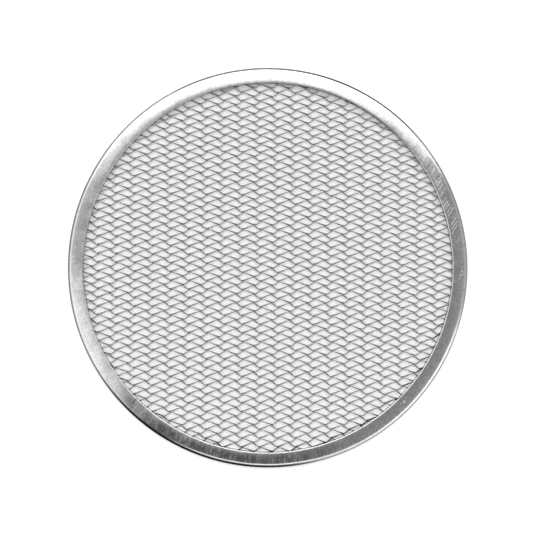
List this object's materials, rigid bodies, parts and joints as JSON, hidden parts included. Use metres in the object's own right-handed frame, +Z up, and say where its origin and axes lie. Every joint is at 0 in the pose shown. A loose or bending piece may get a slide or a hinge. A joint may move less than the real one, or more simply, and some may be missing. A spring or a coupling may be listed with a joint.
{
  "type": "pizza screen",
  "caption": "Round pizza screen: expanded aluminium mesh gripped in a folded aluminium rim, lying flat.",
  "frame": {"origin": "middle of the underside, on the surface that the screen lies on", "axes": "+Z up through the thickness; +X along the long way of the mesh openings"},
  "size_m": [0.305, 0.305, 0.0042],
  "materials": {
    "mesh_aluminium": "bright, as slit and stretched",
    "rim_aluminium": "bright mill finish, finely scratched"
  },
  "bodies": {
    "root": {"mesh": "mesh_aluminium", "rim": "rim_aluminium"}
  },
  "joints": []
}
